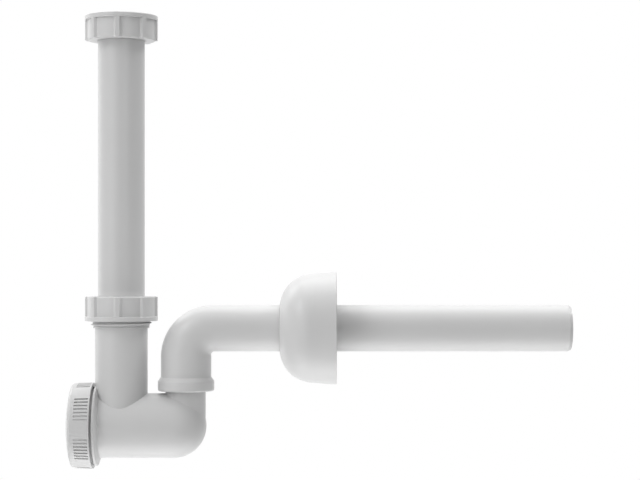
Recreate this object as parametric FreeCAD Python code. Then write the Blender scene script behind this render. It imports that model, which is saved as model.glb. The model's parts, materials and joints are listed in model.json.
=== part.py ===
import FreeCAD, Part
import math
import os

# A basin trap: a ribbed union nut carries a long inlet pipe, which slides into the socket of a
# bottle-like trap body. The body has a horizontal chamber with a screwed cleaning cap on its left
# and an upright outlet spigot on its right. An outlet bend swivels on the spigot, and a rosette
# slides on its long pipe to cover the hole in the wall.
#
# Frame: the origin is the centre of the upper nut's open end, +Z is up along the inlet pipe and
# +X runs along the outlet pipe, towards the wall. All sizes are in millimetres.

# Tubes
TUBE_OD = 32.0
TUBE_WALL = 1.8
INLET_LENGTH = 229.85
INLET_IN_SOCKET = 42.5
RUNNING = 0.05
LOOSE = 0.3

# Union nuts, the upper one and the one on the trap's socket
NUT_HEIGHT = 16.85
NUT_RIM_R = 25.0
NUT_RIM_HEIGHT = 3.0
NUT_WALL_R = 23.3
NUT_RIB_R = 24.9
NUT_RIBS = 8
NUT_RIB_FOOT = 5.3
NUT_RIB_CREST = 2.8
NUT_RIB_TURN = 0.0
NUT_SHOULDER = 3.0
NUT_FOOT_ROUND = 0.12
NUT_EDGE_ROUND = 0.4
NUT_CREST_ROUND = 0.4
NUT_END_ROUND = 0.9

# G 1 1/4 thread between nut and socket: the ridges are left off both pieces
THREAD_R = 20.955
THREAD_FORM = 1.48
THREAD_PLAY = 0.095

# Inlet pipe's flange and its gasket
FLANGE_R = 20.3
FLANGE_THICK = 2.5
GASKET_THICK = 3.0
GASKET_PLAY = 0.1

# Slip ring and cone seal under the socket nut
SLIP_RING_THICK = 1.5
SEAL_STAND = 1.8
SEAL_DEPTH = 4.2
SEAT_GAP = 0.12
MOUTH_R = 18.7
MOUTH_DEPTH = 5.0

# Trap body
SOCKET_R = 18.0
SOCKET_TO_CHAMBER = 82.6
SOCKET_LEDGE_DEPTH = 58.5
SOCKET_LEDGE = 1.5
THREAD_LENGTH = 13.9
RELIEF_R = 18.8
RELIEF_LENGTH = 0.6
COLLAR_R = 19.3
COLLAR_LENGTH = 1.0
CHAMBER_R = 22.2
CHAMBER_WALL = 2.0
CHAMBER_END_X = 36.3
SPIGOT_X = 44.5
SPIGOT_R = 13.5
SPIGOT_WALL = 1.9
SPIGOT_HEIGHT = 46.1
SPIGOT_CREASE_ROUND = 2.0
SNAP_R = 15.1
SNAP_LENGTH = 4.0

# Cleaning port, its seal and its cap
PORT_FLANGE_X = -17.6
PORT_FLANGE_R = 27.7
PORT_FLANGE_WIDTH = 1.6
PORT_FLANGE_CONE = 1.9
PORT_FLANGE_ROUND = 0.7
PORT_LENGTH = 12.5
PORT_THREAD_R = 26.4
PORT_THREAD_FORM = 1.4
PORT_WALL = 2.2
PORT_TAPER = 3.0
PORT_PLAY = 0.35
CAP_SEAL_THICK = 2.0
CAP_SEAL_PLAY = 0.1
CAP_RIM_GAP = 1.4
CAP_RIM_R = 29.6
CAP_END_R = 29.1
CAP_DEPTH = 18.2
CAP_DOME_R = 115.0
CAP_CORNER = 2.5
CAP_TOP_WALL = 2.0
CAP_SEAT_WIDTH = 5.6
GRIP_GROUPS = (7, 9, 7, 7, 9, 7)
GRIP_PITCH = 5.06
GRIP_TURN = 1.0
GRIP_WIDTH = 1.2
GRIP_DEPTH = 1.75
GRIP_DEEPENING = 2.2
GRIP_START = 1.1
GRIP_LENGTH = 9.3

# Outlet bend with its long pipe
OUTLET_RISE = 66.9
OUTLET_REACH = 264.2
LEG_R = 17.35
LEG_WALL = 2.0
BEND_R = 19.0
BEAD_R = 19.4
BEAD_LENGTH = 9.6
BEAD_STRAIGHT = 6.7
BEAD_GROOVE_R = 17.5
BEAD_LIP = 2.2
BEAD_LIP_PLAY = 0.7
GROOVE_LENGTH = 6.5
BEAD_ROUND = 1.3
BEAD_SHOULDER_ROUND = 1.6
LEG_BOTTOM_GAP = 1.7
PIPE_CHAMFER_LENGTH = 2.1
PIPE_CHAMFER = 1.0

# Lip seal in the bend's bead
LIP_BACK = 1.9
LIP_THICK = 2.0

# Wall rosette
ROSETTE_X = 108.9
ROSETTE_LENGTH = 39.0
ROSETTE_ARC_R = 23.3
ROSETTE_SHOULDER_R = 37.5
ROSETTE_RIM_R = 38.8
ROSETTE_WALL = 1.8

# Places that follow from the sizes above
TUBE_R = TUBE_OD / 2
TUBE_BORE_R = TUBE_R - TUBE_WALL
NUT_BORE_R = THREAD_R + THREAD_PLAY
NUT_SEAT_R = FLANGE_R + LOOSE
SHOULDER_DEPTH = NUT_HEIGHT - NUT_SHOULDER
NUT_THREAD_LENGTH = SHOULDER_DEPTH - FLANGE_THICK - GASKET_THICK - GASKET_PLAY
FLANGE_Z = -(SHOULDER_DEPTH - FLANGE_THICK)
INLET_BOTTOM_Z = FLANGE_Z - INLET_LENGTH
SOCKET_TOP_Z = INLET_BOTTOM_Z + INLET_IN_SOCKET
SLIP_RING_Z = SOCKET_TOP_Z + SEAL_STAND
SOCKET_NUT_Z = SLIP_RING_Z + SLIP_RING_THICK - SHOULDER_DEPTH
SOCKET_BORE_R = TUBE_R + LOOSE
SOCKET_CORE_R = THREAD_R - THREAD_FORM
CHAMBER_Z = SOCKET_TOP_Z - SOCKET_TO_CHAMBER
CHAMBER_BORE_R = CHAMBER_R - CHAMBER_WALL
SPIGOT_TOP_Z = CHAMBER_Z + SPIGOT_HEIGHT
PORT_MOUTH_X = PORT_FLANGE_X - PORT_LENGTH
PORT_CORE_R = PORT_THREAD_R - PORT_THREAD_FORM
PORT_BORE_R = PORT_CORE_R - PORT_WALL
CAP_BORE_R = PORT_THREAD_R + PORT_PLAY
CAP_SEAT_X = PORT_MOUTH_X - CAP_SEAL_THICK
CAP_RIM_X = PORT_FLANGE_X - CAP_RIM_GAP
CAP_TOP_X = CAP_RIM_X - CAP_DEPTH
CAP_DRAFT = (CAP_RIM_R - CAP_END_R) / (CAP_RIM_X - CAP_SEAT_X)
GRIP_R = CAP_RIM_R - CAP_DRAFT * (GRIP_START + GRIP_LENGTH / 2)
OUTLET_Z = CHAMBER_Z + OUTLET_RISE
OUTLET_END_X = SPIGOT_X + OUTLET_REACH
BEND_CENTRE = (SPIGOT_X + BEND_R, OUTLET_Z - BEND_R)
LEG_BORE_R = LEG_R - LEG_WALL
LEG_BOTTOM_Z = CHAMBER_Z + CHAMBER_R + LEG_BOTTOM_GAP
GROOVE_Z = LEG_BOTTOM_Z + BEAD_LIP
SPIGOT_PASS_R = SPIGOT_R + BEAD_LIP_PLAY


def vector(x, y, z):
    return FreeCAD.Vector(x, y, z)


def rounded(before, corner, after, radius):
    """The start, middle and end of an arc that rounds a corner of an outline."""
    ways = []
    for other in (before, after):
        dx, dy = other[0] - corner[0], other[1] - corner[1]
        length = math.hypot(dx, dy)
        ways.append((dx / length, dy / length))
    (ax, ay), (bx, by) = ways
    half = math.acos(max(-1.0, min(1.0, ax * bx + ay * by))) / 2
    reach = radius / math.tan(half)
    mx, my = ax + bx, ay + by
    size = math.hypot(mx, my)
    middle = (radius / math.sin(half) - radius) / size
    return (
        (corner[0] + ax * reach, corner[1] + ay * reach),
        (corner[0] + mx * middle, corner[1] + my * middle),
        (corner[0] + bx * reach, corner[1] + by * reach),
    )


def outline(corners, place):
    """A closed face. A corner is (a, b) or (a, b, radius), and a pair of points is an arc to its end."""
    ends = [c[1] if isinstance(c[0], tuple) else c for c in corners]
    path = []
    for i, corner in enumerate(corners):
        if isinstance(corner[0], tuple):
            path.append(("arc", corner[0], corner[1]))
        elif len(corner) == 3:
            before, after = ends[i - 1], ends[(i + 1) % len(ends)]
            start, middle, end = rounded(before, corner[:2], after, corner[2])
            path.append(("line", start))
            path.append(("arc", middle, end))
        else:
            path.append(("line", corner))
    here = place(*path[-1][-1])
    edges = []
    for step in path:
        there = place(*step[-1])
        if here.distanceToPoint(there) > 1e-7:
            if step[0] == "arc":
                edges.append(Part.Arc(here, place(*step[1]), there).toShape())
            else:
                edges.append(Part.LineSegment(here, there).toShape())
        here = there
    return Part.Face(Part.Wire(edges))


def turned_upright(corners, axis_x=0.0):
    """A solid turned about an upright axis from corners given as (radius, height)."""
    face = outline(corners, lambda r, z: vector(axis_x + r, 0, z))
    return face.revolve(vector(axis_x, 0, 0), vector(0, 0, 1), 360)


def turned_level(corners, axis_z):
    """A solid turned about a level axis along X from corners given as (x, radius)."""
    face = outline(corners, lambda x, r: vector(x, 0, axis_z + r))
    return face.revolve(vector(0, 0, axis_z), vector(1, 0, 0), 360)


def on_circle(centre, radius, degrees):
    angle = math.radians(degrees)
    return centre[0] + radius * math.cos(angle), centre[1] + radius * math.sin(angle)


def upright_edges(shape, radius):
    """The edges of a prism that run along Z at this distance from the axis."""
    found = []
    for edge in shape.Edges:
        box = edge.BoundBox
        flat = max(box.XLength, box.YLength)
        if flat < 1e-3 and abs(math.hypot(box.Center.x, box.Center.y) - radius) < 1e-3:
            found.append(edge)
    return found


def nearest_edge(shape, point):
    spot = Part.Vertex(point)
    return min(shape.Edges, key=lambda edge: edge.distToShape(spot)[0])


def nut_section():
    """The ribbed outline of a nut's wall, as a face at z = 0."""
    edges = []
    foot = math.degrees(math.asin(NUT_RIB_FOOT / 2 / NUT_WALL_R))
    crest = math.degrees(math.asin(NUT_RIB_CREST / 2 / NUT_RIB_R))
    pitch = 360.0 / NUT_RIBS
    for i in range(NUT_RIBS):
        middle = NUT_RIB_TURN - 90 + i * pitch

        def at(radius, offset):
            x, y = on_circle((0, 0), radius, middle + offset)
            return vector(x, y, 0)

        points = [at(NUT_WALL_R, -foot), at(NUT_RIB_R, -crest), at(NUT_RIB_R, crest), at(NUT_WALL_R, foot)]
        edges.append(Part.LineSegment(points[0], points[1]).toShape())
        edges.append(Part.Arc(points[1], at(NUT_RIB_R, 0), points[2]).toShape())
        edges.append(Part.LineSegment(points[2], points[3]).toShape())
        next_foot = at(NUT_WALL_R, pitch - foot)
        edges.append(Part.Arc(points[3], at(NUT_WALL_R, pitch / 2), next_foot).toShape())
    return Part.Face(Part.Wire(edges))


def union_nut():
    """A ribbed nut with its open end up at z = 0."""
    grip_height = NUT_HEIGHT - NUT_RIM_HEIGHT / 2
    grip = nut_section().extrude(vector(0, 0, grip_height))
    grip.translate(vector(0, 0, -NUT_HEIGHT))
    grip = grip.makeFillet(NUT_FOOT_ROUND, upright_edges(grip, NUT_WALL_R))
    grip = grip.makeFillet(NUT_CREST_ROUND, upright_edges(grip, NUT_RIB_R))
    closed_end = [e for e in grip.Edges if abs(e.BoundBox.ZMax + NUT_HEIGHT) < 1e-4]
    grip = grip.makeFillet(NUT_END_ROUND, closed_end)
    rim = turned_upright([
        (0, -NUT_RIM_HEIGHT),
        (NUT_RIM_R, -NUT_RIM_HEIGHT, NUT_EDGE_ROUND),
        (NUT_RIM_R, 0, NUT_EDGE_ROUND),
        (0, 0),
    ])
    bore = turned_upright([
        (0, 1),
        (NUT_BORE_R, 1),
        (NUT_BORE_R, -NUT_THREAD_LENGTH),
        (NUT_SEAT_R, -NUT_THREAD_LENGTH),
        (NUT_SEAT_R, -SHOULDER_DEPTH),
        (TUBE_R + LOOSE, -SHOULDER_DEPTH),
        (TUBE_R + LOOSE, -NUT_HEIGHT - 1),
        (0, -NUT_HEIGHT - 1),
    ])
    return grip.fuse(rim).cut(bore)


def inlet_nut():
    return union_nut()


def socket_nut():
    """The same nut turned over, with its open end down."""
    nut = union_nut().mirror(vector(0, 0, 0), vector(0, 0, 1))
    nut.translate(vector(0, 0, SOCKET_NUT_Z))
    return nut


def flat_ring(inner, outer, low, high, edge=0.25):
    return turned_upright([(inner, low, edge), (outer, low, edge), (outer, high, edge), (inner, high, edge)])


def inlet_gasket():
    return flat_ring(TUBE_BORE_R, FLANGE_R, FLANGE_Z, FLANGE_Z + GASKET_THICK)


def inlet_pipe():
    under = FLANGE_Z - FLANGE_THICK
    return turned_upright([
        (TUBE_BORE_R, FLANGE_Z),
        (FLANGE_R, FLANGE_Z, 0.3),
        (FLANGE_R, under, 0.3),
        (TUBE_R, under),
        (TUBE_R, INLET_BOTTOM_Z, 0.5),
        (TUBE_BORE_R, INLET_BOTTOM_Z),
    ])


def slip_ring():
    return flat_ring(TUBE_R + RUNNING, FLANGE_R, SLIP_RING_Z, SLIP_RING_Z + SLIP_RING_THICK)


def cone_seal():
    slope = (MOUTH_R - SOCKET_BORE_R) / MOUTH_DEPTH
    wide = MOUTH_R - SEAT_GAP
    return turned_upright([
        (TUBE_R + RUNNING, SLIP_RING_Z),
        (wide, SLIP_RING_Z, 0.25),
        (wide, SOCKET_TOP_Z),
        (wide - slope * SEAL_DEPTH, SOCKET_TOP_Z - SEAL_DEPTH),
        (TUBE_R + RUNNING, SOCKET_TOP_Z - SEAL_DEPTH),
    ])


def chamber_outside():
    cone_end = PORT_FLANGE_X + PORT_FLANGE_WIDTH + PORT_FLANGE_CONE
    centre = (CHAMBER_END_X, 0)
    return turned_level([
        (PORT_MOUTH_X, 0),
        (PORT_MOUTH_X, PORT_CORE_R, 0.5),
        (PORT_FLANGE_X, PORT_CORE_R),
        (PORT_FLANGE_X, PORT_FLANGE_R, 0.3),
        (PORT_FLANGE_X + PORT_FLANGE_WIDTH, PORT_FLANGE_R, PORT_FLANGE_ROUND),
        (cone_end, CHAMBER_R),
        (CHAMBER_END_X, CHAMBER_R),
        (on_circle(centre, CHAMBER_R, 45), on_circle(centre, CHAMBER_R, 0)),
    ], CHAMBER_Z)


def chamber_inside():
    taper_end = PORT_FLANGE_X + PORT_FLANGE_WIDTH
    centre = (CHAMBER_END_X, 0)
    return turned_level([
        (PORT_MOUTH_X - 1, 0),
        (PORT_MOUTH_X - 1, PORT_BORE_R),
        (taper_end - PORT_TAPER, PORT_BORE_R),
        (taper_end, CHAMBER_BORE_R),
        (CHAMBER_END_X, CHAMBER_BORE_R),
        (on_circle(centre, CHAMBER_BORE_R, 45), on_circle(centre, CHAMBER_BORE_R, 0)),
    ], CHAMBER_Z)


def socket_outside():
    thread_end = SOCKET_TOP_Z - THREAD_LENGTH
    collar_top = thread_end - RELIEF_LENGTH
    collar_end = collar_top - COLLAR_LENGTH
    return turned_upright([
        (0, CHAMBER_Z),
        (SOCKET_R, CHAMBER_Z),
        (SOCKET_R, collar_end),
        (COLLAR_R, collar_end, 0.25),
        (COLLAR_R, collar_top, 0.25),
        (RELIEF_R, collar_top),
        (RELIEF_R, thread_end),
        (SOCKET_CORE_R, thread_end, 0.2),
        (SOCKET_CORE_R, SOCKET_TOP_Z, 0.3),
        (0, SOCKET_TOP_Z),
    ])


def socket_inside():
    ledge_z = SOCKET_TOP_Z - SOCKET_LEDGE_DEPTH
    ledge_r = SOCKET_BORE_R - SOCKET_LEDGE
    return turned_upright([
        (0, SOCKET_TOP_Z + 1),
        (MOUTH_R, SOCKET_TOP_Z + 1),
        (MOUTH_R, SOCKET_TOP_Z),
        (SOCKET_BORE_R, SOCKET_TOP_Z - MOUTH_DEPTH),
        (SOCKET_BORE_R, ledge_z),
        (ledge_r, ledge_z),
        (ledge_r, CHAMBER_Z),
        (0, CHAMBER_Z),
    ])


def spigot_outside():
    snap_low = SPIGOT_TOP_Z - SNAP_LENGTH
    return turned_upright([
        (0, CHAMBER_Z),
        (SPIGOT_R, CHAMBER_Z),
        (SPIGOT_R, snap_low),
        (SNAP_R, snap_low + 0.8),
        (SNAP_R, SPIGOT_TOP_Z - 1.8),
        (SPIGOT_R, SPIGOT_TOP_Z),
        (0, SPIGOT_TOP_Z),
    ], SPIGOT_X)


def spigot_crease(body):
    """The edges where the spigot rises out of the chamber, all round it."""
    found = []
    for edge in body.Edges:
        middle = edge.valueAt((edge.FirstParameter + edge.LastParameter) / 2)
        on_spigot = abs(math.hypot(middle.x - SPIGOT_X, middle.y) - SPIGOT_R) < 1e-3
        if on_spigot and CHAMBER_Z < middle.z < CHAMBER_Z + CHAMBER_R and edge.BoundBox.ZLength > 1e-3:
            found.append(edge)
    return found


def trap_body():
    body = chamber_outside().fuse([socket_outside(), spigot_outside()]).removeSplitter()
    body = body.makeFillet(SPIGOT_CREASE_ROUND, spigot_crease(body))
    spigot_bore = Part.makeCylinder(
        SPIGOT_R - SPIGOT_WALL, SPIGOT_HEIGHT + 1, vector(SPIGOT_X, 0, CHAMBER_Z)
    )
    return body.cut(chamber_inside().fuse([socket_inside(), spigot_bore])).removeSplitter()


def cap_seal():
    outer = CAP_BORE_R - CAP_SEAL_PLAY
    inner = PORT_BORE_R + CAP_SEAL_PLAY
    return turned_level([
        (CAP_SEAT_X, inner),
        (CAP_SEAT_X, outer, 0.25),
        (PORT_MOUTH_X, outer, 0.25),
        (PORT_MOUTH_X, inner),
    ], CHAMBER_Z)


def dome(radius, top_x):
    centre = vector(top_x + radius, 0, CHAMBER_Z)
    return Part.makeSphere(radius, centre, vector(1, 0, 0), -90, 90, 360)


def cap_blank():
    """The cap before its inside and grip are cut: a drafted side closed by a shallow dome."""
    far_r = CAP_RIM_R - CAP_DRAFT * (CAP_DEPTH + 1)
    side = turned_level([
        (CAP_TOP_X - 1, 0),
        (CAP_TOP_X - 1, far_r),
        (CAP_RIM_X, CAP_RIM_R),
        (CAP_RIM_X, 0),
    ], CHAMBER_Z)
    blank = side.common(dome(CAP_DOME_R, CAP_TOP_X))
    corner_x = CAP_TOP_X + CAP_END_R ** 2 / 2 / CAP_DOME_R
    corner = nearest_edge(blank, vector(corner_x, CAP_END_R, CHAMBER_Z))
    blank = blank.makeFillet(CAP_CORNER, [corner])
    rim = nearest_edge(blank, vector(CAP_RIM_X, CAP_RIM_R, CHAMBER_Z))
    return blank.makeFillet(0.3, [rim])


def cap_inside():
    hollow_r = CAP_BORE_R - CAP_SEAT_WIDTH
    thread_room = turned_level([
        (CAP_RIM_X + 1, 0),
        (CAP_RIM_X + 1, CAP_BORE_R),
        (CAP_SEAT_X, CAP_BORE_R),
        (CAP_SEAT_X, 0),
    ], CHAMBER_Z)
    hollow = Part.makeCylinder(
        hollow_r, CAP_DEPTH, vector(CAP_TOP_X, 0, CHAMBER_Z), vector(1, 0, 0)
    )
    return thread_room.fuse(hollow.common(dome(CAP_DOME_R - CAP_TOP_WALL, CAP_TOP_X + CAP_TOP_WALL)))


def grip_angles():
    """The grooves' angles from the mould's parting plane, in groups with equal gaps between them."""
    pitches = sum(GRIP_GROUPS) - len(GRIP_GROUPS)
    gap = (360 - pitches * GRIP_PITCH) / len(GRIP_GROUPS)
    angles = []
    first = gap / 2
    for count in GRIP_GROUPS:
        angles += [first + i * GRIP_PITCH for i in range(count)]
        first = angles[-1] + gap
    return angles


def grip_grooves():
    """Short grooves round the cap, which get shallower towards the mould's parting plane."""
    start_x = CAP_RIM_X - GRIP_START
    cutters = []
    for angle in grip_angles():
        depth = min(GRIP_DEPTH, GRIP_DEEPENING * abs(math.sin(math.radians(angle))))
        cutter = Part.makeBox(
            GRIP_LENGTH,
            GRIP_WIDTH,
            CAP_RIM_R,
            vector(start_x - GRIP_LENGTH, -GRIP_WIDTH / 2, CHAMBER_Z + GRIP_R - depth),
        )
        cutter.rotate(vector(0, 0, CHAMBER_Z), vector(1, 0, 0), GRIP_TURN + angle + 90)
        cutters.append(cutter)
    return Part.makeCompound(cutters)


def cleaning_cap():
    return cap_blank().cut(cap_inside()).cut(grip_grooves())


def bend_core(leg_r, pipe_r):
    """A quarter turn from the upright leg to the level pipe, filled, one radius at each end."""
    cx, cz = BEND_CENTRE
    start = vector(SPIGOT_X, 0, cz)
    end = vector(cx, 0, OUTLET_Z)
    mid_x, mid_z = on_circle((cx, cz), BEND_R, 135)
    spine = Part.Wire([Part.Arc(start, vector(mid_x, 0, mid_z), end).toShape()])
    rings = [
        Part.Wire([Part.Circle(start, vector(0, 0, 1), leg_r).toShape()]),
        Part.Wire([Part.Circle(end, vector(1, 0, 0), pipe_r).toShape()]),
    ]
    return spine.makePipeShell(rings, True, False)


def outlet_bend():
    bead_top = LEG_BOTTOM_Z + BEAD_LENGTH
    groove_top = GROOVE_Z + GROOVE_LENGTH
    cx, cz = BEND_CENTRE
    leg = turned_upright([
        (SPIGOT_PASS_R, LEG_BOTTOM_Z),
        (BEAD_R, LEG_BOTTOM_Z, BEAD_ROUND),
        (BEAD_R, LEG_BOTTOM_Z + BEAD_STRAIGHT, BEAD_SHOULDER_ROUND),
        (LEG_R, bead_top),
        (LEG_R, cz),
        (LEG_BORE_R, cz),
        (LEG_BORE_R, groove_top),
        (BEAD_GROOVE_R, groove_top),
        (BEAD_GROOVE_R, GROOVE_Z),
        (SPIGOT_PASS_R, GROOVE_Z),
    ], SPIGOT_X)
    bend = bend_core(LEG_R, TUBE_R).cut(bend_core(LEG_BORE_R, TUBE_BORE_R))
    pipe = turned_level([
        (cx, TUBE_BORE_R),
        (cx, TUBE_R),
        (OUTLET_END_X - PIPE_CHAMFER_LENGTH, TUBE_R),
        (OUTLET_END_X, TUBE_R - PIPE_CHAMFER),
        (OUTLET_END_X, TUBE_BORE_R),
    ], OUTLET_Z)
    return leg.fuse([bend, pipe])


def lip_seal():
    back_r = BEAD_GROOVE_R - RUNNING
    tip_r = SPIGOT_R + RUNNING
    top = GROOVE_Z + GROOVE_LENGTH
    return turned_upright([
        (back_r - LIP_BACK, top),
        (back_r, top, 0.2),
        (back_r, GROOVE_Z, 0.2),
        (tip_r, GROOVE_Z),
        (tip_r, GROOVE_Z + LIP_THICK),
        (back_r - LIP_BACK, GROOVE_Z + 2 * LIP_THICK),
    ], SPIGOT_X)


def rosette_arc(centre, radius):
    """Start, middle and end of the dome's arc, from the pipe's hole out to the shoulder."""
    first = 180 - math.degrees(math.asin((TUBE_R + LOOSE - centre[1]) / radius))
    return [on_circle(centre, radius, angle) for angle in (first, (first + 90) / 2, 90)]


def wall_rosette():
    rim_x = ROSETTE_X + ROSETTE_LENGTH
    centre = (ROSETTE_X + ROSETTE_ARC_R, ROSETTE_SHOULDER_R - ROSETTE_ARC_R)
    outer = rosette_arc(centre, ROSETTE_ARC_R)
    inner = rosette_arc(centre, ROSETTE_ARC_R - ROSETTE_WALL)
    return turned_level([
        inner[0],
        outer[0],
        (outer[1], outer[2]),
        (rim_x, ROSETTE_RIM_R, 0.5),
        (rim_x, ROSETTE_RIM_R - ROSETTE_WALL),
        inner[2],
        (inner[1], inner[0]),
    ], OUTLET_Z)


PIECES = {
    "inlet_nut": inlet_nut,
    "inlet_gasket": inlet_gasket,
    "inlet_pipe": inlet_pipe,
    "socket_nut": socket_nut,
    "slip_ring": slip_ring,
    "cone_seal": cone_seal,
    "trap_body": trap_body,
    "cap_seal": cap_seal,
    "cleaning_cap": cleaning_cap,
    "outlet_bend": outlet_bend,
    "lip_seal": lip_seal,
    "wall_rosette": wall_rosette,
}


def main():
    os.makedirs("parts", exist_ok=True)
    for name, make in PIECES.items():
        shape = make()
        solid = shape.Solids[0]
        print(name, len(shape.Solids), shape.isValid(), round(solid.Volume, 1), solid.BoundBox)
        solid.exportStep(f"parts/{name}.step")


main()
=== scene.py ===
import json
import math

import bmesh
import bpy
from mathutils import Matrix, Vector


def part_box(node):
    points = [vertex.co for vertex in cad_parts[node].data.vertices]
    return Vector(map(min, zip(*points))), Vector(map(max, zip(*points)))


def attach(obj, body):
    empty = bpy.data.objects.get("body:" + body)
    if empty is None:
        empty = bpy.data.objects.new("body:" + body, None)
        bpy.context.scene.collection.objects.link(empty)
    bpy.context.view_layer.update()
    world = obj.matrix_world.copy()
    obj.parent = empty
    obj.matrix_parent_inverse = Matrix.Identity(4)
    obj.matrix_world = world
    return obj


bl_info = {
    "name": "Basin Trap",
    "version": (1, 0, 0),
    "blender": (4, 5, 0),
    "location": "View3D > Sidebar > Basin Trap",
    "description": "Dresses a tubular basin trap, cuts its threads and sets its studio",
    "category": "Object",
}

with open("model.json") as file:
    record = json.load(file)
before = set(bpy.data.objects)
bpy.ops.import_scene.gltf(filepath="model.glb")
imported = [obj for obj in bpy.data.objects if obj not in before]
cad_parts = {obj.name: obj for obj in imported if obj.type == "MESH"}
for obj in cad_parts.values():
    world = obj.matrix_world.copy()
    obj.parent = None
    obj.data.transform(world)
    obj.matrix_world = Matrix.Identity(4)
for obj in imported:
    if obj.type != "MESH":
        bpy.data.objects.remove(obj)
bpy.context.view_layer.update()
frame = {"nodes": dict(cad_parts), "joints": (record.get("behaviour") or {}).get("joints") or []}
NODES = frame["nodes"]
JOINTS = {joint["name"]: joint for joint in frame["joints"]}
MM = 0.001


def box_middle(node, axis):
    low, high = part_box(node)
    return (low[axis] + high[axis]) / 2


# Places read from the frame
PORT_Z = box_middle("cleaning_cap", 2)
SOCKET_TOP_Z = JOINTS["socket_nut_turn"]["pos_m"][2]
GASKET_TOP_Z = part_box("inlet_gasket")[1].z
PORT_MOUTH_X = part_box("trap_body")[0].x
CAP_RIM_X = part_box("cleaning_cap")[1].x
SOCKET_NUT_LOW_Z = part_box("socket_nut")[0].z
SLIP_RING_LOW_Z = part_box("slip_ring")[0].z


# Settings that a user would change

class TrapThreads(bpy.types.PropertyGroup):
    """The screw threads that the solids leave out."""

    nut_bore: bpy.props.FloatProperty(
        name="Nut bore", description="Radius of a union nut's bore",
        default=21.05 * MM, unit="LENGTH",
    )
    nut_crest: bpy.props.FloatProperty(
        name="Nut crest", description="Radius of a nut thread's crest",
        default=19.62 * MM, unit="LENGTH",
    )
    neck_core: bpy.props.FloatProperty(
        name="Neck core", description="Radius of the socket's threaded neck",
        default=19.475 * MM, unit="LENGTH",
    )
    neck_crest: bpy.props.FloatProperty(
        name="Neck crest", description="Radius of the neck thread's crest",
        default=20.86 * MM, unit="LENGTH",
    )
    neck_drop: bpy.props.FloatProperty(
        name="Neck ridge", description="From the socket's top to its lowest ridge, on the outlet's side",
        default=12.0 * MM, unit="LENGTH",
    )
    nut_pitch: bpy.props.FloatProperty(
        name="Nut pitch", description="Rise of a union nut's thread in one turn",
        default=2.309 * MM, unit="LENGTH",
    )
    port_core: bpy.props.FloatProperty(
        name="Port core", description="Radius of the cleaning port's neck",
        default=25.0 * MM, unit="LENGTH",
    )
    port_crest: bpy.props.FloatProperty(
        name="Port crest", description="Radius of the port thread's crest",
        default=26.35 * MM, unit="LENGTH",
    )
    cap_bore: bpy.props.FloatProperty(
        name="Cap bore", description="Radius of the cleaning cap's bore",
        default=26.75 * MM, unit="LENGTH",
    )
    cap_crest: bpy.props.FloatProperty(
        name="Cap crest", description="Radius of the cap thread's crest",
        default=25.35 * MM, unit="LENGTH",
    )
    cap_pitch: bpy.props.FloatProperty(
        name="Cap pitch", description="Rise of the cap's thread in one turn",
        default=4.0 * MM, unit="LENGTH",
    )


class TrapFinish(bpy.types.PropertyGroup):
    """Colours and gloss of the plastics and the rubber."""

    pipe_colour: bpy.props.FloatVectorProperty(
        name="Pipes", description="Colour of the two pipes", subtype="COLOR", size=3, min=0, max=1,
        default=(0.64, 0.64, 0.64),
    )
    moulded_colour: bpy.props.FloatVectorProperty(
        name="Mouldings", description="Colour of the trap body, nuts, cap and rosette",
        subtype="COLOR", size=3, min=0, max=1, default=(0.64, 0.64, 0.64),
    )
    ring_colour: bpy.props.FloatVectorProperty(
        name="Slip ring", description="Colour of the ring over the cone seal", subtype="COLOR", size=3,
        min=0, max=1, default=(0.52, 0.53, 0.54),
    )
    rubber_colour: bpy.props.FloatVectorProperty(
        name="Rubber", description="Colour of the seals", subtype="COLOR", size=3, min=0, max=1,
        default=(0.035, 0.035, 0.037),
    )
    gloss_roughness: bpy.props.FloatProperty(
        name="Roughness", description="Mean roughness of the plastic",
        default=0.32, min=0, max=1, subtype="FACTOR",
    )


class TrapStudio(bpy.types.PropertyGroup):
    """The camera, the lamps and the floor."""

    mm_per_pixel: bpy.props.FloatProperty(
        name="Scale", description="Millimetres to a pixel of the photograph at the object's mid-plane",
        default=0.688,
    )
    pixels_wide: bpy.props.FloatProperty(name="Width", description="Width of the photograph", default=640)
    nut_pixel_x: bpy.props.FloatProperty(
        name="Nut column", description="Column of the inlet pipe's axis in the photograph", default=121.45,
    )
    nut_pixel_z: bpy.props.FloatProperty(
        name="Nut row", description="Row of the upper nut's open end in the photograph", default=16.6,
    )
    middle_x: bpy.props.FloatProperty(
        name="Middle column", description="The photograph's centre", default=320,
    )
    middle_z: bpy.props.FloatProperty(
        name="Middle row", description="The photograph's centre", default=240,
    )
    distance: bpy.props.FloatProperty(
        name="Distance", description="From the camera to the object's mid-plane", default=1.2, unit="LENGTH",
    )
    eye_pixel_z: bpy.props.FloatProperty(
        name="Eye row", description="Row of the photograph that lies level with the camera", default=265,
    )
    floor_drop: bpy.props.FloatProperty(
        name="Floor drop", description="How far the floor lies below the camera", default=1.1, unit="LENGTH",
    )
    floor_radius: bpy.props.FloatProperty(
        name="Floor radius", description="Radius of the round floor", default=1.8, unit="LENGTH",
    )
    lamp_level: bpy.props.FloatProperty(
        name="Lamps", description="Factor on the power of all lamps", default=1.0,
    )
    room_left: bpy.props.FloatProperty(
        name="Room, left", description="Strength of the room's light from the left", default=0.375,
    )
    room_above: bpy.props.FloatProperty(
        name="Room, above", description="Strength of the room's light from above", default=1.05,
    )


SETTINGS = {
    "trap_threads": TrapThreads,
    "trap_finish": TrapFinish,
    "trap_studio": TrapStudio,
}

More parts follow.
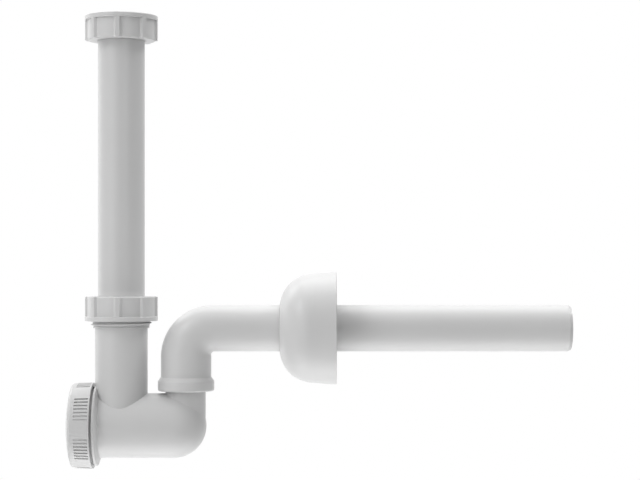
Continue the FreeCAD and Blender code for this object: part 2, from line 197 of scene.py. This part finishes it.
# Soft boxes: place from the picture's middle, width and height in metres, power in watts
LAMPS = {
    "lamp_above": ((0, 0.5, 1.5), (1.4, 1.4), 8.8),
    "lamp_high_left": ((-1.0, 0.8, 1.0), (0.6, 0.6), 2.6),
    "lamp_high_right": ((1.0, 0.3, 1.2), (0.5, 0.5), 7.1),
    "lamp_left_back": ((-1.3, 0.9, 0.1), (0.8, 1.6), 2.6),
    "lamp_left_front": ((-1.2, -1.2, 0.3), (1.0, 1.6), 5.0),
    "lamp_left_high": ((-1.0, -0.6, 0.9), (0.5, 0.5), 3.3),
    "lamp_right_front": ((0.6, -1.4, 0.3), (0.5, 0.5), 1.6),
    "lamp_below": ((0, 0, -1.0), (1.4, 0.8), 4.8),
}


# Node helpers

NOISE_LOW, NOISE_HIGH = 0.3, 0.7


class Shader:
    """A material's node tree, with short calls to add nodes and to join them."""

    def __init__(self, name, roughness):
        self.material = bpy.data.materials.new(name)
        self.material.use_nodes = True
        self.tree = self.material.node_tree
        self.surface = self.tree.nodes["Principled BSDF"]
        self.surface.inputs["Roughness"].default_value = roughness
        self.place = self.add("ShaderNodeTexCoord").outputs["Object"]

    def add(self, kind):
        return self.tree.nodes.new(kind)

    def join(self, output, entry):
        self.tree.links.new(output, entry)

    def noise(self, scale, detail=2.0, stretch=None):
        """Noise over the surface. scale is in cycles to a metre, stretch squeezes it along an axis."""
        place = self.place
        if stretch:
            mapping = self.add("ShaderNodeMapping")
            mapping.inputs["Scale"].default_value = stretch
            self.join(place, mapping.inputs["Vector"])
            place = mapping.outputs["Vector"]
        node = self.add("ShaderNodeTexNoise")
        node.inputs["Scale"].default_value = scale
        node.inputs["Detail"].default_value = detail
        self.join(place, node.inputs["Vector"])
        return node.outputs["Fac"]

    def spread(self, value, low, high):
        """Noise mapped from its usual range to low and high."""
        node = self.add("ShaderNodeMapRange")
        node.inputs["From Min"].default_value = NOISE_LOW
        node.inputs["From Max"].default_value = NOISE_HIGH
        node.inputs["To Min"].default_value = low
        node.inputs["To Max"].default_value = high
        self.join(value, node.inputs["Value"])
        return node.outputs["Result"]

    def tint(self, value, colour, change):
        """Base colour that drifts by a small share either side of colour."""
        node = self.add("ShaderNodeMix")
        node.data_type = "RGBA"
        shades = [s for s in node.inputs if s.type == "RGBA"]
        shades[0].default_value = (*[c * (1 - change) for c in colour], 1)
        shades[1].default_value = (*[min(1, c * (1 + change)) for c in colour], 1)
        self.join(self.spread(value, 0, 1), node.inputs["Factor"])
        self.join([o for o in node.outputs if o.type == "RGBA"][0], self.surface.inputs["Base Color"])

    def gloss(self, value, roughness, change):
        spread = self.spread(value, roughness - change, roughness + change)
        self.join(spread, self.surface.inputs["Roughness"])

    def relief(self, *layers):
        """Bump from layers of (height output, depth in metres)."""
        normal = None
        for height, depth in layers:
            bump = self.add("ShaderNodeBump")
            bump.inputs["Distance"].default_value = depth
            self.join(height, bump.inputs["Height"])
            if normal:
                self.join(normal, bump.inputs["Normal"])
            normal = bump.outputs["Normal"]
        self.join(normal, self.surface.inputs["Normal"])


# Finishes. Patches, gloss, waves, lines and grain are in cycles to a metre, and depths in metres.
# The floor's fade starts and ends at shares of its radius.

PLASTIC_IOR = 1.49
PLASTIC_SHINE = 0.42
TONE_CHANGE = 0.008
GLOSS_CHANGE = 0.03
MOULDED_PATCHES, MOULDED_GLOSS = 38, 260
MOULDED_WAVES, MOULDED_WAVE_DEPTH = 120, 0.008 * MM
MOULDED_GRAIN, MOULDED_GRAIN_DEPTH = 3600, 0.0015 * MM
DRAWN_PATCHES = 30
DRAWN_LINES, DRAWN_LINE_DEPTH, DRAWN_STRETCH = 900, 0.0015 * MM, 0.02
DRAWN_WAVES, DRAWN_WAVE_DEPTH = 70, 0.01 * MM
RUBBER_ROUGHNESS, RUBBER_TONE_CHANGE, RUBBER_GLOSS_CHANGE = 0.62, 0.25, 0.1
RUBBER_PATCHES, RUBBER_GLOSS = 150, 500
RUBBER_GRAIN, RUBBER_GRAIN_DEPTH = 2400, 0.012 * MM
FLOOR_WHITE = (0.9, 0.9, 0.9)
FLOOR_PATCHES, FLOOR_TONE_CHANGE, FLOOR_ROUGHNESS = 3, 0.01, 0.9
FLOOR_FADE_START, FLOOR_FADE_END = 0.3, 0.9


def plastic_shine(shader):
    """Gives a plastic its reflections and hands over its material."""
    shader.surface.inputs["IOR"].default_value = PLASTIC_IOR
    shader.surface.inputs["Specular IOR Level"].default_value = PLASTIC_SHINE
    return shader.material


def moulded_plastic(name, colour, roughness):
    """Injection-moulded plastic: an even tone, faint flow waves and a very fine grain."""
    shader = Shader(name, roughness)
    shader.tint(shader.noise(MOULDED_PATCHES, 3), colour, TONE_CHANGE)
    shader.gloss(shader.noise(MOULDED_GLOSS, 3), roughness, GLOSS_CHANGE)
    waves = (shader.noise(MOULDED_WAVES, 1), MOULDED_WAVE_DEPTH)
    shader.relief(waves, (shader.noise(MOULDED_GRAIN, 2), MOULDED_GRAIN_DEPTH))
    return plastic_shine(shader)


def drawn_plastic(name, colour, roughness, along):
    """Drawn tube: as the mouldings, with faint lines along the draw."""
    stretch = [DRAWN_STRETCH if axis == along else 1 for axis in "xyz"]
    shader = Shader(name, roughness)
    lines = shader.noise(DRAWN_LINES, 2, stretch)
    shader.tint(shader.noise(DRAWN_PATCHES, 3), colour, TONE_CHANGE)
    shader.gloss(lines, roughness, GLOSS_CHANGE)
    shader.relief((lines, DRAWN_LINE_DEPTH), (shader.noise(DRAWN_WAVES, 1), DRAWN_WAVE_DEPTH))
    return plastic_shine(shader)


def seal_rubber(name, colour):
    """Black moulded rubber, dusty and matt."""
    shader = Shader(name, RUBBER_ROUGHNESS)
    shader.tint(shader.noise(RUBBER_PATCHES, 4), colour, RUBBER_TONE_CHANGE)
    shader.gloss(shader.noise(RUBBER_GLOSS, 3), RUBBER_ROUGHNESS, RUBBER_GLOSS_CHANGE)
    shader.relief((shader.noise(RUBBER_GRAIN, 3), RUBBER_GRAIN_DEPTH))
    return shader.material


def studio_white(name, radius):
    """A pale floor that keeps the object's shadow and fades to plain white towards its edge."""
    shader = Shader(name, FLOOR_ROUGHNESS)
    shader.tint(shader.noise(FLOOR_PATCHES, 2), FLOOR_WHITE, FLOOR_TONE_CHANGE)
    split = shader.add("ShaderNodeVectorMath")
    split.operation = "LENGTH"
    shader.join(shader.place, split.inputs[0])
    far = shader.add("ShaderNodeMapRange")
    far.interpolation_type = "SMOOTHSTEP"
    far.inputs["From Min"].default_value = radius * FLOOR_FADE_START
    far.inputs["From Max"].default_value = radius * FLOOR_FADE_END
    shader.join(split.outputs["Value"], far.inputs["Value"])
    seen = seen_directly(shader.tree)
    both = shader.add("ShaderNodeMath")
    both.operation = "MULTIPLY"
    shader.join(far.outputs["Result"], both.inputs[0])
    shader.join(seen, both.inputs[1])
    white = shader.add("ShaderNodeEmission")
    white.inputs["Color"].default_value = (1, 1, 1, 1)
    mix = shader.add("ShaderNodeMixShader")
    shader.join(both.outputs[0], mix.inputs["Fac"])
    shader.join(shader.surface.outputs["BSDF"], mix.inputs[1])
    shader.join(white.outputs["Emission"], mix.inputs[2])
    shader.join(mix.outputs["Shader"], shader.tree.nodes["Material Output"].inputs["Surface"])
    return shader.material


def seen_directly(tree):
    """1 for rays that the camera sees straight, in a mirror or through glass, and 0 for other light."""
    ray = tree.nodes.new("ShaderNodeLightPath")
    total = ray.outputs["Is Camera Ray"]
    for name in ("Is Glossy Ray", "Is Transmission Ray"):
        add = tree.nodes.new("ShaderNodeMath")
        add.operation = "ADD"
        add.use_clamp = True
        tree.links.new(total, add.inputs[0])
        tree.links.new(ray.outputs[name], add.inputs[1])
        total = add.outputs[0]
    return total


# Mesh helpers

SMOOTH_DEGREES = 32


def soften(mesh):
    """Smooth shading, with an edge left sharp where its faces meet steeply."""
    mesh.shade_smooth()
    mesh.set_sharp_from_angle(angle=math.radians(SMOOTH_DEGREES))


def new_piece(name, points, faces, body, material):
    """A mesh that rides on a body."""
    mesh = bpy.data.meshes.new(name)
    mesh.from_pydata(points, [], faces)
    cleaner = bmesh.new()
    cleaner.from_mesh(mesh)
    bmesh.ops.recalc_face_normals(cleaner, faces=cleaner.faces)
    cleaner.to_mesh(mesh)
    cleaner.free()
    soften(mesh)
    mesh.materials.append(material)
    piece = bpy.data.objects.new(name, mesh)
    bpy.context.scene.collection.objects.link(piece)
    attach(piece, body)
    return piece


def dress(node, material):
    """Gives a solid that stays its finish."""
    piece = NODES[node]
    piece.data.materials.clear()
    piece.data.materials.append(material)
    soften(piece.data)


# Screw threads. The gaps at their ends are in pitches.

NECK_FOOT_GAP = 0.7
NECK_TOP_GAP = 0.5
NUT_END_GAP = 0.4
LOWER_NUT_TOP_GAP = 2
PORT_END_GAP = 0.12
CAP_RIM_GAP = 0.2
RIDGE_STEPS = 120
RIDGE_FADE = math.radians(50)
RIDGE_FOOT = 0.335
RIDGE_CREST = 0.075
RIDGE_SINK = 0.12


def thread_ridge(wall, crest, pitch, span, zero, centre, level=False):
    """Points and faces of a right-handed helical ridge on a wall, fading out at both ends.

    wall and crest are radii. span holds the first and last place of the ridge's middle along the axis, and
    zero is the place that it would have at angle 0. The axis is upright, or level along X.
    """
    start, end = [(place - zero) * 2 * math.pi / pitch for place in span]
    steps = int((end - start) / (2 * math.pi) * RIDGE_STEPS)
    sunk = wall - (crest - wall) * RIDGE_SINK
    points, faces = [], []
    for i in range(steps + 1):
        angle = start + (end - start) * i / steps
        to_end = min(angle - start, end - angle, RIDGE_FADE)
        top = wall + (crest - wall) * math.sin(to_end / RIDGE_FADE * math.pi / 2)
        along = zero + pitch * angle / (2 * math.pi)
        foot, flat = RIDGE_FOOT * pitch, RIDGE_CREST * pitch
        section = ((sunk, -foot), (wall, -foot), (top, -flat), (top, flat), (wall, foot), (sunk, foot))
        for radius, shift in section:
            across = (radius * math.cos(angle), radius * math.sin(angle))
            place = (along + shift, *across) if level else (*across, along + shift)
            points.append(Vector(place) + Vector(centre))
    ring = len(section)
    for i in range(steps):
        for k in range(ring):
            a, b = i * ring + k, i * ring + (k + 1) % ring
            faces.append((a, b, b + ring, a + ring))
    faces.append(tuple(range(ring)))
    faces.append(tuple(range(steps * ring, (steps + 1) * ring)))
    return points, faces


# Pieces

class TRAP_OT_pipes(bpy.types.Operator):
    """Finishes the inlet pipe and the outlet bend with its long pipe"""

    bl_idname = "trap.pipes"
    bl_label = "Finish the Pipes"

    def execute(self, context):
        finish = context.scene.trap_finish
        look = (finish.pipe_colour, finish.gloss_roughness)
        dress("inlet_pipe", drawn_plastic("inlet_plastic", *look, "z"))
        dress("outlet_bend", drawn_plastic("outlet_plastic", *look, "x"))
        return {"FINISHED"}


class TRAP_OT_body(bpy.types.Operator):
    """Finishes the trap body and adds the threads of its socket and its cleaning port"""

    bl_idname = "trap.body"
    bl_label = "Finish the Trap Body"

    def execute(self, context):
        finish, sizes = context.scene.trap_finish, context.scene.trap_threads
        plastic = moulded_plastic("body_plastic", finish.moulded_colour, finish.gloss_roughness)
        dress("trap_body", plastic)
        lowest = SOCKET_TOP_Z - sizes.neck_drop
        pitch = sizes.nut_pitch
        span = (lowest - NECK_FOOT_GAP * pitch, SOCKET_TOP_Z - NECK_TOP_GAP * pitch)
        points, faces = thread_ridge(sizes.neck_core, sizes.neck_crest, pitch, span, lowest, (0, 0, 0))
        new_piece("socket_thread", points, faces, "trap", plastic)
        pitch = sizes.cap_pitch
        span = (PORT_MOUTH_X + PORT_END_GAP * pitch, CAP_RIM_X + PORT_END_GAP * pitch)
        points, faces = thread_ridge(
            sizes.port_core, sizes.port_crest, pitch, span, PORT_MOUTH_X, (0, 0, PORT_Z), level=True,
        )
        new_piece("port_thread", points, faces, "trap", plastic)
        return {"FINISHED"}


class TRAP_OT_nuts(bpy.types.Operator):
    """Finishes the two union nuts and the slip ring and adds the nuts' threads"""

    bl_idname = "trap.nuts"
    bl_label = "Finish the Nuts"

    def execute(self, context):
        finish, sizes = context.scene.trap_finish, context.scene.trap_threads
        plastic = moulded_plastic("nut_plastic", finish.moulded_colour, finish.gloss_roughness)
        dress("inlet_nut", plastic)
        dress("socket_nut", plastic)
        dress("slip_ring", moulded_plastic("ring_plastic", finish.ring_colour, finish.gloss_roughness))
        pitch = sizes.nut_pitch
        gap = NUT_END_GAP * pitch
        lower_top = SLIP_RING_LOW_Z - LOWER_NUT_TOP_GAP * pitch
        meshed = SOCKET_TOP_Z - sizes.neck_drop + pitch / 2
        threads = {
            "upper_nut_thread": ("waste_nut", (GASKET_TOP_Z + gap, -gap), -pitch),
            "lower_nut_thread": ("lower_nut", (SOCKET_NUT_LOW_Z + gap, lower_top), meshed),
        }
        for name, (body, span, zero) in threads.items():
            points, faces = thread_ridge(sizes.nut_bore, sizes.nut_crest, pitch, span, zero, (0, 0, 0))
            new_piece(name, points, faces, body, plastic)
        return {"FINISHED"}


class TRAP_OT_cap(bpy.types.Operator):
    """Finishes the cleaning cap and adds its thread"""

    bl_idname = "trap.cap"
    bl_label = "Finish the Cap"

    def execute(self, context):
        finish, sizes = context.scene.trap_finish, context.scene.trap_threads
        plastic = moulded_plastic("cap_plastic", finish.moulded_colour, finish.gloss_roughness)
        dress("cleaning_cap", plastic)
        pitch = sizes.cap_pitch
        span = (PORT_MOUTH_X + PORT_END_GAP * pitch, CAP_RIM_X - CAP_RIM_GAP * pitch)
        meshed = PORT_MOUTH_X + pitch / 2
        points, faces = thread_ridge(
            sizes.cap_bore, sizes.cap_crest, pitch, span, meshed, (0, 0, PORT_Z), level=True,
        )
        new_piece("cap_thread", points, faces, "cap", plastic)
        return {"FINISHED"}


class TRAP_OT_rosette(bpy.types.Operator):
    """Finishes the wall rosette"""

    bl_idname = "trap.rosette"
    bl_label = "Finish the Rosette"

    def execute(self, context):
        finish = context.scene.trap_finish
        plastic = moulded_plastic("rosette_plastic", finish.moulded_colour, finish.gloss_roughness)
        dress("wall_rosette", plastic)
        return {"FINISHED"}


class TRAP_OT_seals(bpy.types.Operator):
    """Finishes the gasket and the seals"""

    bl_idname = "trap.seals"
    bl_label = "Finish the Seals"

    def execute(self, context):
        rubber = seal_rubber("seal_rubber", context.scene.trap_finish.rubber_colour)
        for node in ("inlet_gasket", "cone_seal", "cap_seal", "lip_seal"):
            dress(node, rubber)
        return {"FINISHED"}


# Stage

CLIP_END = 50
FLOOR_SIDES = 96


def aim(piece, place, target):
    piece.location = place
    piece.rotation_euler = (Vector(target) - Vector(place)).to_track_quat("-Z", "Y").to_euler()


def soft_box(name, place, target, size, power):
    light = bpy.data.lights.new(name, "AREA")
    light.shape = "RECTANGLE"
    light.size, light.size_y = size
    light.energy = power
    lamp = bpy.data.objects.new(name, light)
    aim(lamp, place, target)
    bpy.context.scene.collection.objects.link(lamp)


class TRAP_OT_stage(bpy.types.Operator):
    """Sets the camera, the lamps, the white room and the floor"""

    bl_idname = "trap.stage"
    bl_label = "Set the Stage"

    def execute(self, context):
        studio = context.scene.trap_studio
        context.scene.view_settings.view_transform = "Standard"
        scale = studio.mm_per_pixel * MM
        middle = Vector((
            (studio.middle_x - studio.nut_pixel_x) * scale,
            0,
            (studio.nut_pixel_z - studio.middle_z) * scale,
        ))
        self.camera(context, studio, middle, scale)
        for name, (offset, size, power) in LAMPS.items():
            soft_box(name, middle + Vector(offset), middle, size, power * studio.lamp_level)
        self.floor(context, studio, middle)
        self.white_room(context, studio)
        return {"FINISHED"}

    def camera(self, context, studio, middle, scale):
        lens = bpy.data.cameras.new("photo_camera")
        lens.lens = lens.sensor_width * studio.distance / (studio.pixels_wide * scale)
        lens.clip_end = CLIP_END
        eye_drop = studio.eye_pixel_z - studio.middle_z
        lens.shift_y = eye_drop / studio.pixels_wide
        camera = bpy.data.objects.new("photo_camera", lens)
        camera.location = middle - Vector((0, studio.distance, eye_drop * scale))
        camera.rotation_euler = (math.pi / 2, 0, 0)
        context.scene.collection.objects.link(camera)
        context.scene.camera = camera

    def floor(self, context, studio, middle):
        angles = [2 * math.pi * i / FLOOR_SIDES for i in range(FLOOR_SIDES)]
        radius = studio.floor_radius
        rim = [(radius * math.cos(a), radius * math.sin(a), 0) for a in angles]
        mesh = bpy.data.meshes.new("studio_floor")
        mesh.from_pydata(rim, [], [tuple(range(FLOOR_SIDES))])
        mesh.materials.append(studio_white("floor_white", radius))
        floor = bpy.data.objects.new("studio_floor", mesh)
        floor.location = middle - Vector((0, 0, studio.floor_drop))
        context.scene.collection.objects.link(floor)

    def white_room(self, context, studio):
        """White to the camera and in reflections, and softer light from the left and from above."""
        world = bpy.data.worlds.new("white_room")
        world.use_nodes = True
        tree = world.node_tree
        light = tree.nodes["Background"]
        light.inputs["Color"].default_value = (1, 1, 1, 1)
        way = tree.nodes.new("ShaderNodeTexCoord")
        parts = tree.nodes.new("ShaderNodeSeparateXYZ")
        tree.links.new(way.outputs["Generated"], parts.inputs["Vector"])
        sides = (("X", -studio.room_left), ("Z", studio.room_above))
        total = None
        for axis, strength in sides:
            share = tree.nodes.new("ShaderNodeMath")
            share.operation = "MULTIPLY"
            share.inputs[1].default_value = strength
            tree.links.new(parts.outputs[axis], share.inputs[0])
            lit = tree.nodes.new("ShaderNodeMath")
            lit.operation = "MAXIMUM"
            lit.inputs[1].default_value = 0
            tree.links.new(share.outputs[0], lit.inputs[0])
            if total:
                add = tree.nodes.new("ShaderNodeMath")
                tree.links.new(total, add.inputs[0])
                tree.links.new(lit.outputs[0], add.inputs[1])
                total = add.outputs[0]
            else:
                total = lit.outputs[0]
        tree.links.new(total, light.inputs["Strength"])
        white = tree.nodes.new("ShaderNodeBackground")
        white.inputs["Color"].default_value = (1, 1, 1, 1)
        mix = tree.nodes.new("ShaderNodeMixShader")
        tree.links.new(seen_directly(tree), mix.inputs["Fac"])
        tree.links.new(light.outputs["Background"], mix.inputs[1])
        tree.links.new(white.outputs["Background"], mix.inputs[2])
        tree.links.new(mix.outputs["Shader"], tree.nodes["World Output"].inputs["Surface"])
        context.scene.world = world


OPERATORS = (
    TRAP_OT_stage, TRAP_OT_pipes, TRAP_OT_body, TRAP_OT_nuts, TRAP_OT_cap, TRAP_OT_rosette, TRAP_OT_seals,
)


class TRAP_PT_panel(bpy.types.Panel):
    """The trap's steps and settings in the sidebar"""

    bl_idname = "TRAP_PT_panel"
    bl_label = "Basin Trap"
    bl_space_type = "VIEW_3D"
    bl_region_type = "UI"
    bl_category = "Basin Trap"

    def draw(self, context):
        for operator in OPERATORS:
            self.layout.operator(operator.bl_idname)
        for name in SETTINGS:
            group = getattr(context.scene, name)
            for key in group.__annotations__:
                self.layout.prop(group, key)


def register():
    for item in (*SETTINGS.values(), *OPERATORS, TRAP_PT_panel):
        bpy.utils.register_class(item)
    for name, group in SETTINGS.items():
        setattr(bpy.types.Scene, name, bpy.props.PointerProperty(type=group))


def unregister():
    for name in SETTINGS:
        delattr(bpy.types.Scene, name)
    for item in reversed((*SETTINGS.values(), *OPERATORS, TRAP_PT_panel)):
        bpy.utils.unregister_class(item)


def main():
    register()
    bpy.ops.trap.stage()
    bpy.ops.trap.pipes()
    bpy.ops.trap.body()
    bpy.ops.trap.nuts()
    bpy.ops.trap.cap()
    bpy.ops.trap.rosette()
    bpy.ops.trap.seals()


if __name__ == "__main__":
    main()
